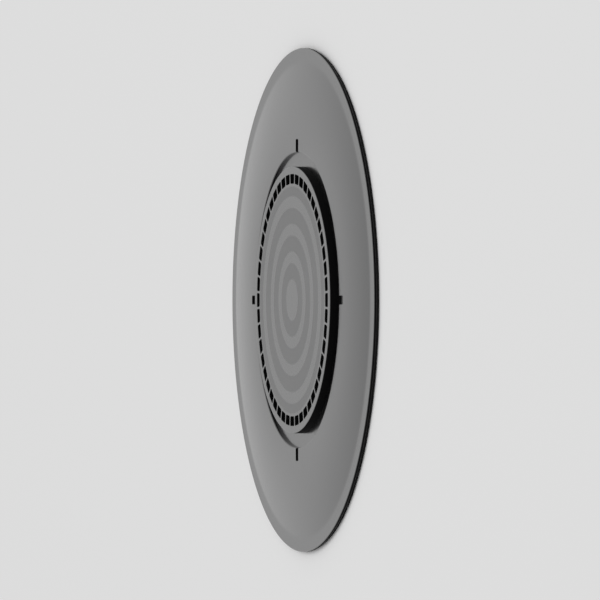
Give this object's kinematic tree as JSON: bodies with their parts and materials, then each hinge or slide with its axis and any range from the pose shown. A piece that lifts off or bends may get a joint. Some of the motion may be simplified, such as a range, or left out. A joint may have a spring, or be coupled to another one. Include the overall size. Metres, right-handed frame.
{
  "type": "adhesive phone mount plate",
  "caption": "Round black adhesive plate for a phone's back: domed flange, moat and raised hub with a ring of index slots, over a hidden steel disc that a magnetic holder pulls.",
  "frame": {"origin": "centre of the adhesive face, the face that sticks to a phone's back", "axes": "+Z along the plate's axis, away from the phone towards the holder; X and Y through the four alignment ticks"},
  "size_m": [0.062, 0.062, 0.002],
  "materials": {
    "black_plastic": "satin black with a fine moulded grain",
    "steel": "zinc-plated sheet, rolled",
    "tape": "dull black acrylic foam"
  },
  "bodies": {
    "root": {"plate": "black_plastic", "armature_disc": "steel", "adhesive_pad": "tape"}
  },
  "joints": []
}
